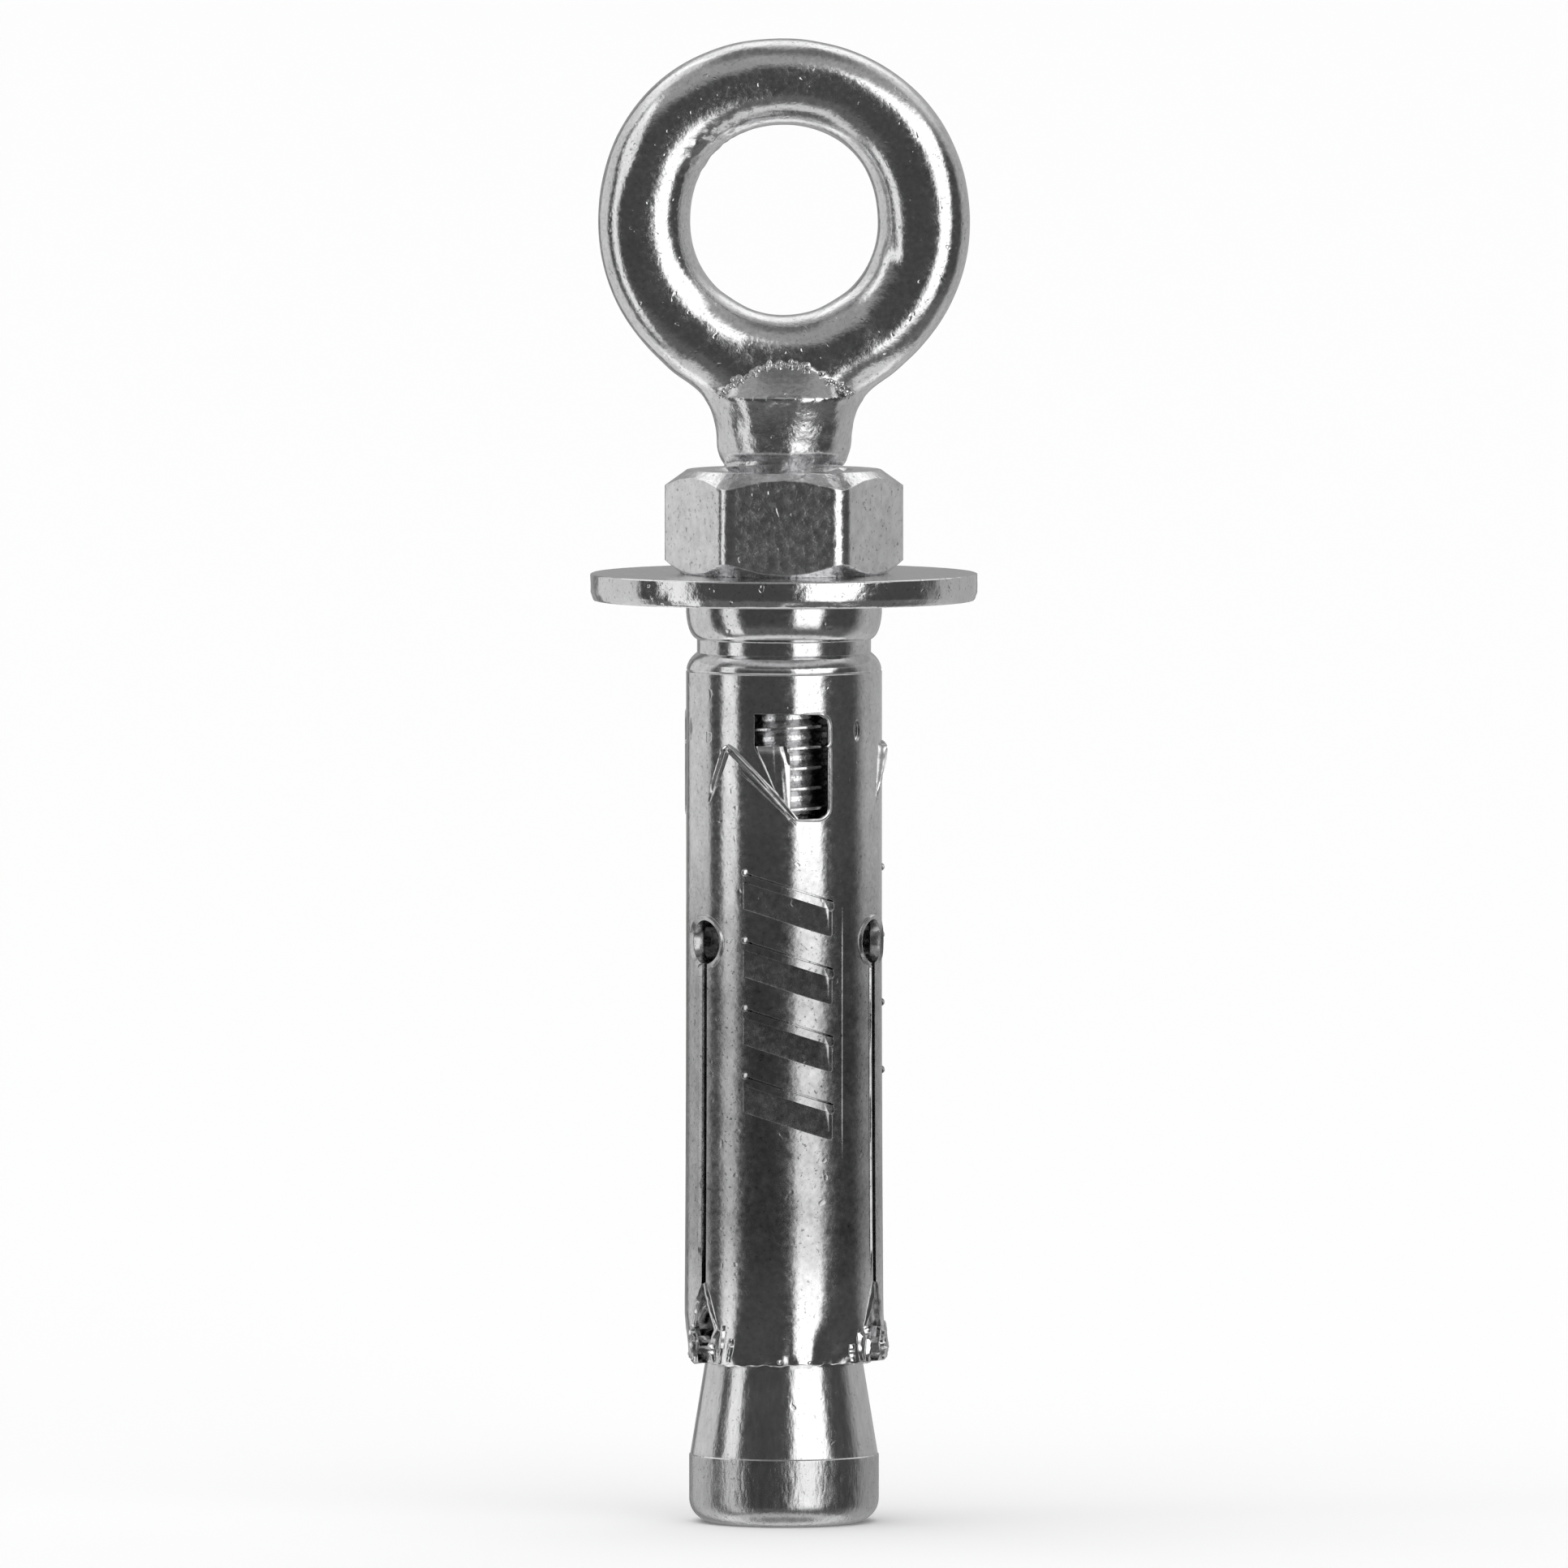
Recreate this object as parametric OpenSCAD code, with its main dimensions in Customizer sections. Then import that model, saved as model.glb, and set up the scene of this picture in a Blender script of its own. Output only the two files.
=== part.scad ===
/* [Eye] */
// Diameter of the hole through the eye
eye_hole_d = 11.46; // [11:0.02:12]
// Diameter of the round section of the eye
eye_rod_d = 5.66; // [5.5:0.02:5.8]
// Height of the centre of the eye above the nut
eye_rise = 15.2; // [15:0.1:15.8]
// Radius of the hollow under each side of the eye
hollow_r = 4.7; // [4.5:0.1:4.9]

/* [Neck] */
// Diameter of the neck just above the nut
neck_foot_d = 7.66; // [7.5:0.02:7.8]
// Diameter of the neck at its rim, where the dome starts
neck_rim_d = 8.96; // [8.8:0.02:9.1]
// Height of the rim above the nut
neck_rim_rise = 4.5; // [4.3:0.1:4.7]
// Height of the dome above the rim
dome_h = 3.5; // [3.2:0.1:3.8]

/* [Shank] */
// Diameter of the shank at half the depth of its M8 thread
shank_d = 7.2; // [7.1:0.02:7.22]
// Gap all round between the shank and what is screwed on it
thread_gap = 0.05; // [0.04:0.01:0.08]
// Depth of the shank's end above the bottom of the cone
shank_end_rise = 1.1; // [0.8:0.1:2]

/* [Nut] */
// Width of the nut across its flats
nut_flats = 13; // [12.8:0.1:13.2]
// Height of the nut
nut_h = 6.35; // [6.1:0.05:6.8]
// Rounding of the nut's six upright corners
nut_corner_round = 0.9; // [0.5:0.1:1.4]
// Width of the chamfer at each end of the nut's corners
nut_chamfer = 1.3; // [0.9:0.05:1.35]

/* [Washer] */
// Outer diameter of the washer
washer_d = 23.8; // [20:0.2:24]
// Thickness of the washer
washer_t = 1.65; // [1.5:0.05:2]
// Diameter of the washer's hole
washer_hole_d = 8.5; // [8.4:0.1:8.8]

/* [Sleeve] */
// Outer diameter of the sleeve
sleeve_d = 12; // [11.9:0.1:12.2]
// Diameter of the sleeve's bore
sleeve_bore_d = 8.6; // [8.4:0.1:8.8]
// Length of the sleeve
sleeve_len = 46.7; // [46:0.1:50]
// Number of fingers that the slits cut
fingers = 3; // [3:1:3]
// Direction that the middle of the first finger faces, from the front
finger_turn = 6; // [-10:1:20]
// Width of each slit
slit_w = 0.45; // [0.35:0.05:0.6]
// Diameter of the hole at the top of each slit
slit_hole_d = 2.7; // [2.4:0.1:3]
// Height of that hole above the end of the sleeve
slit_hole_rise = 25.9; // [24:0.1:28]

/* [Grip grooves] */
// Number of slanted grooves on each finger
groove_count = 4; // [2:1:4]
// Height of one groove, measured along the sleeve
groove_h = 2.25; // [1.8:0.05:2.5]
// Distance from one groove to the next
groove_pitch = 4.15; // [4:0.05:4.3]
// Slope of the grooves
groove_slope = 17.8; // [10:0.1:22]
// Distance from the sleeve's axis to the flat floor of each groove
groove_floor = 5.25; // [5.1:0.05:5.35]
// Direction that the floors face, from the middle of the finger
groove_floor_turn = -4; // [-6:1:0]
// Height of the shallow step along the top of each groove
groove_step_h = 0.6; // [0.4:0.05:0.8]
// Depth of that step
groove_step_depth = 0.12; // [0.08:0.02:0.2]

/* [Fins] */
// How far the fins stand out of the sleeve at their top
fin_proud = 0.46; // [0.2:0.02:0.5]
// Width of a fin
fin_w = 0.5; // [0.4:0.05:0.7]

/* [Cone] */
// Diameter of the band at the foot of the cone
cone_d = 11.64; // [11.4:0.02:11.8]
// Height of that band
band_h = 4.2; // [3.8:0.1:4.6]
// How far the cone hangs out of the sleeve at rest
cone_out = 9.9; // [9.5:0.1:10.4]
// How far the cone reaches into the sleeve at rest
cone_in = 3.7; // [3.4:0.1:4]
// Radius of the round edge at the foot
foot_round = 1.45; // [1:0.05:1.6]

/* [Hidden] */
$fn = 96;
overshoot = 1;
half_cut = 2 * sleeve_d;

sleeve_r = sleeve_d / 2;
sleeve_bore_r = sleeve_bore_d / 2;
sleeve_z = cone_out;
washer_z = sleeve_z + sleeve_len;
nut_z = washer_z + washer_t;
neck_z = nut_z + nut_h;
eye_z = neck_z + eye_rise;

shank_r = shank_d / 2;
screwed_bore_r = shank_r + thread_gap;
countersink = 0.7;
end_chamfer = 0.8;

eye_rod_r = eye_rod_d / 2;
eye_ring_r = eye_hole_d / 2 + eye_rod_r;
arm_r = eye_rod_r - 0.12;
neck_foot_r = neck_foot_d / 2;
neck_rim_r = neck_rim_d / 2;
neck_rim_z = neck_z + neck_rim_rise;
neck_mid_r = (neck_foot_r + neck_rim_r) / 2;
hollow_x = neck_mid_r + hollow_r;
hollow_bite = 0.06;
hollow_drop = sqrt(pow(eye_ring_r + eye_rod_r + hollow_r - hollow_bite, 2) - pow(hollow_x, 2));
hollow_turn = atan2(hollow_drop, hollow_x);

taper_foot_r = cone_d / 2 - 0.07;
taper_top_r = sleeve_bore_r - 0.05;
cone_h = cone_out + cone_in;
taper_slope = (taper_foot_r - taper_top_r) / (cone_h - band_h);
cone_gap = 0.04;
mouth_r = taper_foot_r - taper_slope * (cone_out - band_h) + cone_gap;
mouth_h = (mouth_r - sleeve_bore_r) / taper_slope;
lug_w = 0.9;
lug_r = sleeve_r - 0.6;
lug_z = sleeve_z + 3.1;

collar_h = 1.3;
collar_curve_h = 1.1;
waist_r = sleeve_r - 0.67;
waist_h = 0.8;
shoulder_h = 1.05;

window_z = sleeve_z + 33.5;
window_h = 6.5;
window_left = -2.4;
window_right = 2.25;
window_slot_h = 2;
window_round = 0.7;
flap_right = -0.35;
flap_r = sleeve_r - 0.8;
fin_top_z = window_z + window_h - 1.8;
fin_foot_z = window_z + 0.2;
long_fin_turn = -19;
long_fin_lean = -38;
short_fin_turn = -53;
short_fin_lean = 38;
short_fin_foot_z = window_z + 1.1;
dimple_turn = 42;
dimple_z = window_z + 5.5;
dimple_w = 0.45;
dimple_h = 2.2;
dimple_depth = 0.3;

groove_left = -3.05;
groove_right = 2.2;
groove_end = 0.3;
groove_top_z = sleeve_z + 30.3;
notch_top_z = sleeve_z + 4.7;
notch_foot_z = sleeve_z + 1.4;
notch_w = 2;
tab_w = 3.4;
tab_r = sleeve_r - 0.42;
barb_w = 0.55;
barb_h = 1.5;
barb_r = sleeve_r - 0.05;
lug_foot_z = notch_foot_z + 0.15;

// Points of a quadratic curve from a to c that b pulls on
function curve(a, b, c, steps) = [
    for (i = [0 : steps])
        let (t = i / steps)
        (1 - t) * (1 - t) * a + 2 * t * (1 - t) * b + t * t * c
];

// Points of an arc about a centre
function arc(centre, r, from, to, steps) = [
    for (i = [0 : steps])
        let (turn = from + (to - from) * i / steps)
        centre + r * [cos(turn), sin(turn)]
];

// A shape in x and z, pushed through towards the front
module push_forward(depth = half_cut) {
    rotate([90, 0, 0])
        linear_extrude(height = depth)
            children();
}

// The children once for each finger, or for each slit
module on_each(first) {
    for (i = [0 : fingers - 1])
        rotate([0, 0, first + i * 360 / fingers])
            children();
}

module tube(r, bore_r, z, h) {
    difference() {
        translate([0, 0, z])
            cylinder(r = r, h = h);
        translate([0, 0, z - overshoot])
            cylinder(r = bore_r, h = h + 2 * overshoot);
    }
}

module eye_ring() {
    translate([0, 0, eye_z])
        rotate([90, 0, 0])
            rotate_extrude()
                translate([eye_ring_r, 0])
                    circle(r = eye_rod_r);
}

// The rod of the eye runs down into the neck in a hollow curve
module eye_arm() {
    translate([-hollow_x, 0, eye_z - hollow_drop])
        rotate([90, 0, 0])
            rotate_extrude(angle = hollow_turn)
                translate([hollow_r + arm_r, 0])
                    circle(r = arm_r);
}

module neck() {
    rim = [neck_rim_r, neck_rim_z];
    foot = [neck_foot_r, neck_z + 0.6];
    apex = [0, neck_rim_z + dome_h];
    flare = curve(foot, [neck_foot_r + 0.1, neck_z + 2.6], rim, 10);
    dome = curve(rim + [-0.08, 0.12], [neck_rim_r - 1, neck_rim_z + dome_h - 0.2], apex, 10);
    rotate_extrude()
        polygon(concat(
            [[0, neck_z - 1.5], [shank_r, neck_z - 1.5], [shank_r, neck_z + 0.2]],
            flare,
            dome
        ));
}

module shank() {
    end_z = shank_end_rise;
    rotate_extrude()
        polygon([
            [0, end_z],
            [shank_r - end_chamfer, end_z],
            [shank_r, end_z + end_chamfer],
            [shank_r, neck_z],
            [0, neck_z]
        ]);
}

module eye_bolt() {
    color("silver")
        union() {
            eye_ring();
            eye_arm();
            mirror([1, 0, 0])
                eye_arm();
            neck();
            shank();
        }
}

module hex_nut() {
    corner_r = (nut_flats / 2 - nut_corner_round) / cos(30);
    tip_r = corner_r + nut_corner_round;
    face_r = tip_r - nut_chamfer;
    rise = nut_chamfer * 0.72;
    bore_r = screwed_bore_r;
    outline = [
        for (i = [0 : 5])
            each arc(corner_r * [cos(60 * i), sin(60 * i)], nut_corner_round, 60 * i - 30, 60 * i + 30, 4)
    ];
    color("darkgray")
        translate([0, 0, nut_z])
            difference() {
                intersection() {
                    linear_extrude(nut_h)
                        polygon(outline);
                    rotate_extrude()
                        polygon([
                            [0, 0],
                            [face_r, 0],
                            [tip_r + overshoot, rise + overshoot * rise / nut_chamfer],
                            [tip_r + overshoot, nut_h - rise - overshoot * rise / nut_chamfer],
                            [face_r, nut_h],
                            [0, nut_h]
                        ]);
                }
                translate([0, 0, -overshoot])
                    cylinder(r = bore_r, h = nut_h + 2 * overshoot);
                for (end = [0, 1])
                    translate([0, 0, end * nut_h])
                        mirror([0, 0, end])
                            translate([0, 0, -0.01])
                                cylinder(r1 = bore_r + countersink, r2 = bore_r, h = countersink);
            }
}

// Punched, so its upper edge is rolled over and its lower edge is sharp
module washer() {
    outer = washer_d / 2;
    hole = washer_hole_d / 2;
    roll = 0.35;
    color("gainsboro")
        translate([0, 0, washer_z])
            rotate_extrude()
                polygon(concat(
                    [[hole, 0], [outer - 0.08, 0], [outer, 0.08]],
                    arc([outer - roll, washer_t - roll], roll, 0, 90, 5),
                    arc([hole + roll, washer_t - roll], roll, 90, 180, 5)
                ));
}

// The wall of the sleeve, with its collar, its thin waist and the tapered mouth
module sleeve_wall() {
    top = sleeve_z + sleeve_len;
    waist_top = top - collar_h - collar_curve_h;
    curve_in = curve(
        [sleeve_r, top - collar_h],
        [sleeve_r - 0.1, waist_top + 0.25],
        [waist_r, waist_top],
        6
    );
    rotate_extrude()
        polygon(concat(
            [
                [mouth_r, sleeve_z],
                [sleeve_r - 0.15, sleeve_z],
                [sleeve_r, sleeve_z + 0.15],
                [sleeve_r, waist_top - waist_h - shoulder_h],
                [waist_r, waist_top - waist_h]
            ],
            [for (i = [len(curve_in) - 1 : -1 : 0]) curve_in[i]],
            [
                [sleeve_r, top - 0.2],
                [sleeve_r - 0.2, top],
                [sleeve_bore_r + 0.2, top],
                [sleeve_bore_r, top - 0.2],
                [sleeve_bore_r, sleeve_z + mouth_h]
            ]
        ));
}

// Slit with the hole at its top and the notch at its foot
module slit() {
    hole_z = sleeve_z + slit_hole_rise;
    translate([0, 0, hole_z])
        rotate([90, 0, 0])
            cylinder(d = slit_hole_d, h = half_cut);
    push_forward()
        translate([-slit_w / 2, sleeve_z - overshoot])
            square([slit_w, slit_hole_rise + overshoot]);
    push_forward()
        polygon([
            [0, notch_top_z],
            [-notch_w / 2, notch_foot_z + 0.6],
            [-notch_w / 2 + barb_w, notch_foot_z],
            [notch_w / 2 - barb_w, notch_foot_z],
            [notch_w / 2, notch_foot_z + 0.6]
        ]);
}

// The corners beside each slit are pressed in against the cone
module pressed_corners() {
    difference() {
        push_forward()
            polygon([
                [-tab_w / 2, sleeve_z - overshoot],
                [tab_w / 2, sleeve_z - overshoot],
                [tab_w / 2 - 0.5, notch_foot_z + 0.8],
                [0, notch_top_z + 0.5],
                [-tab_w / 2 + 0.5, notch_foot_z + 0.8]
            ]);
        cylinder(r = tab_r, h = sleeve_z + sleeve_len);
    }
}

// Two barbs that the pressing leaves standing on each corner
module barbs() {
    intersection() {
        tube(barb_r, tab_r - 0.2, sleeve_z, sleeve_len);
        push_forward()
            for (side = [-1, 1])
                polygon([
                    [side * (slit_w / 2 + 0.15), sleeve_z + 0.1],
                    [side * (slit_w / 2 + 0.15 + barb_w), sleeve_z + 0.1],
                    [side * (notch_w / 2 + 0.2), sleeve_z + 0.1 + barb_h],
                    [side * (notch_w / 2 + 0.05), sleeve_z + 0.1 + barb_h]
                ]);
    }
}

module window_outline() {
    middle = (flap_right + window_right) / 2;
    translate([0, window_z])
        union() {
            for (z = [window_round, window_h - window_round])
                translate([window_right - window_round, z])
                    circle(r = window_round);
            translate([flap_right, 0])
                square([window_right - window_round - flap_right, window_h]);
            translate([middle, window_round])
                square([window_right - middle, window_h - 2 * window_round]);
            translate([window_left, window_h - window_slot_h])
                square([middle - window_left, window_slot_h]);
        }
}

// The three-cornered flap left of the window is pushed in, and its edge makes the long fin
module flap_recess() {
    difference() {
        push_forward()
            polygon([
                [window_left, fin_top_z + 0.2],
                [flap_right + 0.1, fin_top_z + 0.2],
                [flap_right + 0.1, window_z]
            ]);
        cylinder(r = flap_r, h = sleeve_z + sleeve_len);
    }
}

// A slanted strip that stands out of the wall, less and less towards its foot
module fin(turn, lean, foot_z) {
    length = (fin_top_z - foot_z) / cos(lean);
    intersection() {
        rotate_extrude()
            polygon([
                [sleeve_r - 0.5, fin_foot_z - 0.6],
                [sleeve_r + 0.05, fin_foot_z - 0.6],
                [sleeve_r + fin_proud * 0.6, fin_foot_z + 1.8],
                [sleeve_r + fin_proud, fin_top_z],
                [sleeve_r + fin_proud - 0.12, fin_top_z + 0.5],
                [sleeve_r - 0.5, fin_top_z + 0.7]
            ]);
        rotate([0, 0, turn])
            translate([0, 0, (fin_top_z + foot_z) / 2])
                rotate([0, lean, 0])
                    translate([-fin_w / 2, -half_cut, -length / 2])
                        cube([fin_w, half_cut, length]);
    }
}

// One slanted band on each finger for each groove, from below its upper edge to its foot
module groove_bands(from, to) {
    width = groove_right - groove_left;
    fall = width * tan(groove_slope);
    push_forward()
        for (i = [0 : groove_count - 1])
            translate([groove_left, groove_top_z - i * groove_pitch])
                polygon([
                    [0, -from],
                    [width, -fall - from],
                    [width + groove_end, -fall - (from + to) / 2],
                    [width, -fall - to],
                    [0, -to]
                ]);
}

// A shallow step that keeps the sleeve's curve, and a deeper flat below it
module grooves() {
    difference() {
        groove_bands(0, groove_step_h + 0.1);
        cylinder(r = sleeve_r - groove_step_depth, h = sleeve_z + sleeve_len);
    }
    difference() {
        groove_bands(groove_step_h, groove_h);
        rotate([0, 0, groove_floor_turn])
            translate([-sleeve_r, -groove_floor, 0])
                cube([sleeve_d, groove_floor + sleeve_r, sleeve_z + sleeve_len]);
    }
}

module dimple() {
    rotate([0, 0, dimple_turn])
        difference() {
            push_forward()
                translate([0, dimple_z])
                    polygon([
                        [0, dimple_h / 2],
                        [-dimple_w / 2, 0.5],
                        [-dimple_w / 2, -0.5],
                        [0, -dimple_h / 2],
                        [dimple_w / 2, -0.5],
                        [dimple_w / 2, 0.5]
                    ]);
            cylinder(r = sleeve_r - dimple_depth, h = sleeve_z + sleeve_len);
        }
}

module sleeve() {
    slit_turn = finger_turn - 180 / fingers;
    color("lightgray")
        union() {
            difference() {
                sleeve_wall();
                on_each(slit_turn) {
                    slit();
                    pressed_corners();
                }
                on_each(finger_turn) {
                    push_forward()
                        window_outline();
                    flap_recess();
                    grooves();
                    dimple();
                }
            }
            on_each(slit_turn)
                barbs();
            on_each(finger_turn) {
                fin(long_fin_turn, long_fin_lean, fin_foot_z);
                fin(short_fin_turn, short_fin_lean, short_fin_foot_z);
            }
        }
}

// Rounded lug that sits in the notch of a slit and stops the cone turning
module lug() {
    intersection() {
        push_forward()
            union() {
                translate([0, lug_z])
                    circle(d = lug_w);
                translate([-lug_w / 2, lug_foot_z])
                    square([lug_w, lug_z - lug_foot_z]);
            }
        rotate_extrude()
            polygon([
                [shank_r + 0.4, lug_foot_z],
                [mouth_r - 0.2, lug_foot_z],
                [lug_r, lug_z - 0.6],
                [lug_r, lug_z],
                [lug_r - 0.35, lug_z + 0.4],
                [shank_r + 0.4, lug_z + 0.45]
            ]);
    }
}

module cone_nut() {
    foot_r = cone_d / 2;
    color("gray")
        difference() {
            union() {
                rotate_extrude()
                    polygon(concat(
                        [[0, 0]],
                        arc([foot_r - foot_round, foot_round], foot_round, -90, 0, 8),
                        [
                            [foot_r, band_h - 0.05],
                            [taper_foot_r, band_h],
                            [taper_top_r, cone_h - 0.2],
                            [taper_top_r - 0.2, cone_h],
                            [0, cone_h]
                        ]
                    ));
                on_each(finger_turn - 180 / fingers)
                    lug();
            }
            translate([0, 0, -overshoot])
                cylinder(r = screwed_bore_r, h = cone_h + 2 * overshoot);
            translate([0, 0, -0.01])
                cylinder(r1 = screwed_bore_r + 0.4, r2 = screwed_bore_r, h = 0.4);
        }
}

eye_bolt();
hex_nut();
washer();
sleeve();
cone_nut();
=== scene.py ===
import math

import bmesh
import bpy
import numpy as np
from mathutils import Matrix, Vector, noise


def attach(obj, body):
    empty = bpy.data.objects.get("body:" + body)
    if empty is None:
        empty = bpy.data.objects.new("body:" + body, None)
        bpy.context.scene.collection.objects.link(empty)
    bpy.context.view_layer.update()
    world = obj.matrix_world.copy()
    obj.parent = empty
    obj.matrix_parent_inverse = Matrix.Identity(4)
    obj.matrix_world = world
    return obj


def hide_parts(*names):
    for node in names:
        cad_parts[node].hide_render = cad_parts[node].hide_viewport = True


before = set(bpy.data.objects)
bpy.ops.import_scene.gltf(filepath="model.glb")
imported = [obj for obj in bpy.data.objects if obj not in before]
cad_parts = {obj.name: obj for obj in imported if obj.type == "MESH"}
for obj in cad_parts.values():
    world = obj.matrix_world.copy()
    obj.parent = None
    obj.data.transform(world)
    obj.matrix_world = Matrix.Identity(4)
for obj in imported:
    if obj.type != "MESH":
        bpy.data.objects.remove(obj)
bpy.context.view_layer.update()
print("frame loaded:", ", ".join(sorted(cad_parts)))

mm = 0.001  # every shape below is written in millimetres

# The camera looks down a little, from so far off that upright edges stay upright
cameraSet = {
    "distance": 1800,
    "elevation": 3.2,
    "aimHeight": 45.3,
    "frameWidth": 96.1,
}


def makeCamera():
    data = bpy.data.cameras.new("camera")
    camera = bpy.data.objects.new("camera", data)
    bpy.context.scene.collection.objects.link(camera)
    tilt = math.radians(cameraSet["elevation"])
    reach = cameraSet["distance"] * mm
    camera.location = (
        0,
        -reach * math.cos(tilt),
        cameraSet["aimHeight"] * mm + reach * math.sin(tilt),
    )
    camera.rotation_euler = (math.radians(90) - tilt, 0, 0)
    data.sensor_width = 36
    data.lens = 36 * cameraSet["distance"] / cameraSet["frameWidth"]
    data.clip_start = 0.05
    data.clip_end = 60
    bpy.context.scene.camera = camera


makeCamera()
bpy.context.scene.view_settings.view_transform = "Standard"
print("camera set")


# Shader sums


class Wire:
    # One socket of a node sheet. Plain sums on it add Math nodes.
    def __init__(self, sheet, socket):
        self.sheet = sheet
        self.socket = socket

    def maths(self, operation, first, second=None):
        sockets = {0: first} if second is None else {0: first, 1: second}
        return self.sheet.add("Math", {"operation": operation}, sockets)

    def __add__(self, other):
        return self.maths("ADD", self, other)

    def __radd__(self, other):
        return self.maths("ADD", other, self)

    def __sub__(self, other):
        return self.maths("SUBTRACT", self, other)

    def __rsub__(self, other):
        return self.maths("SUBTRACT", other, self)

    def __mul__(self, other):
        return self.maths("MULTIPLY", self, other)

    def __rmul__(self, other):
        return self.maths("MULTIPLY", other, self)

    def most(self, other):
        return self.maths("MAXIMUM", self, other)

    def rise(self, low, high):
        # 0 below low, 1 above high, and a smooth step between them
        settings = {"interpolation_type": "SMOOTHSTEP"}
        sockets = {"Value": self, "From Min": low, "From Max": high}
        return self.sheet.add("MapRange", settings, sockets)

    def band(self, low, high, soft):
        return self.rise(low - soft, low + soft) * (1 - self.rise(high - soft, high + soft))


class NodeSheet:
    def __init__(self, tree):
        self.tree = tree
        tree.nodes.clear()

    def add(self, kind, settings=None, sockets=None, output=0):
        node = self.tree.nodes.new("ShaderNode" + kind)
        for name, value in (settings or {}).items():
            setattr(node, name, value)
        for name, value in (sockets or {}).items():
            self.plug(node.inputs[name], value)
        return Wire(self, node.outputs[output]) if node.outputs else None

    def split(self, vector):
        return [self.add("SeparateXYZ", None, {0: vector}, k) for k in range(3)]

    def plug(self, socket, value):
        if isinstance(value, Wire):
            self.tree.links.new(value.socket, socket)
        else:
            socket.default_value = value


# Studio

# Azimuth is 0 at the front and grows to the right, elevation is 0 at eye level, both in degrees
studioSet = {
    "darkLevel": 0.068,
    "heights": [
        (20, 38, 0.3),
        (58, 76, -0.2),
        (-18, -30, 0.07),
        (-44, -53, 0.6),
        (-64, -72, -0.42),
    ],
    "rightPanel": {
        "azimuth": (13, 45), "elevation": (-24, 36), "soft": (3, 8), "level": 1.5, "fan": (-0.05, 0.7),
    },
    "leftPanel": {
        "azimuth": (-77, -57), "elevation": (-40, 42), "soft": (3, 8), "level": 0.92, "fan": (-0.3, -0.2),
    },
    "leftBack": {
        "azimuth": (-150, -98), "elevation": (-60, 60), "soft": (4, 12), "level": 0.6, "fan": (0, 0),
    },
    "rightBack": {
        "azimuth": (102, 160), "elevation": (-60, 60), "soft": (13, 12), "level": 0.37, "fan": (0, 0),
    },
    "fanFoot": -5,
    "back": {"azimuth": (150, 164), "level": 0.28},
    "backTop": {"azimuth": (128, 148), "elevation": (32, 64), "soft": 9, "level": 0.5},
    "sunStrength": 1.68,
    "sunAngle": 70,
    "sunTilt": (14, -10),
    "floorColour": 0.94,
    "floorReach": 6,
}


def makeWorld():
    world = bpy.data.worlds.new("studio")
    bpy.context.scene.world = world
    world.use_nodes = True
    sheet = NodeSheet(world.node_tree)
    x, y, z = sheet.split(sheet.add("TexCoord"))
    degrees = 180 / math.pi
    azimuth = x.maths("ARCTAN2", x, y * -1) * degrees
    elevation = z.maths("ARCSINE", z) * degrees
    aside = azimuth.maths("ABSOLUTE", azimuth)
    level = studioSet["darkLevel"]
    for start, end, change in studioSet["heights"]:
        share = elevation.rise(start, end) if end > start else 1 - elevation.rise(end, start)
        level = level + share * change
    fanFoot = studioSet["fanFoot"]
    for name in ("leftBack", "rightBack", "leftPanel", "rightPanel"):
        panel = studioSet[name]
        high = elevation.most(fanFoot) - fanFoot  # the panels fan out as they rise
        low, far = (azimuth - high * fan for fan in panel["fan"])
        start, end = panel["azimuth"]
        soft = panel["soft"][0]
        across = low.rise(start - soft, start + soft) * (1 - far.rise(end - soft, end + soft))
        upright = elevation.band(*panel["elevation"], panel["soft"][1])
        level = level + across * upright * panel["level"]
    back = studioSet["back"]
    level = level + aside.rise(*back["azimuth"]) * back["level"]
    top = studioSet["backTop"]
    high = elevation.band(*top["elevation"], top["soft"]) * aside.rise(*top["azimuth"])
    level = level + high * top["level"]
    background = sheet.add("Background", None, {"Color": (1, 1, 1, 1), "Strength": level})
    sheet.add("OutputWorld", None, {"Surface": background})


def makeFloor():
    mesh = bpy.data.meshes.new("floor")
    reach = studioSet["floorReach"]
    corners = [(-reach, -reach, 0), (reach, -reach, 0), (reach, reach, 0), (-reach, reach, 0)]
    mesh.from_pydata(corners, [], [(0, 1, 2, 3)])
    floor = bpy.data.objects.new("floor", mesh)
    bpy.context.scene.collection.objects.link(floor)
    material = bpy.data.materials.new("palePaper")
    material.use_nodes = True
    sheet = NodeSheet(material.node_tree)
    level = studioSet["floorColour"]
    paper = sheet.add(
        "BsdfPrincipled", None, {"Base Color": (level, level, level, 1), "Roughness": 0.9}
    )
    sheet.add("OutputMaterial", None, {"Surface": paper})
    mesh.materials.append(material)
    floor.visible_glossy = False


def makeSun():
    data = bpy.data.lights.new("softTop", "SUN")
    data.energy = studioSet["sunStrength"]
    data.angle = math.radians(studioSet["sunAngle"])
    sun = bpy.data.objects.new("softTop", data)
    sun.rotation_euler = (*map(math.radians, studioSet["sunTilt"]), 0)
    sun.visible_glossy = False
    bpy.context.scene.collection.objects.link(sun)


makeWorld()
makeFloor()
makeSun()
print("studio set")


# Zinc


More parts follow.
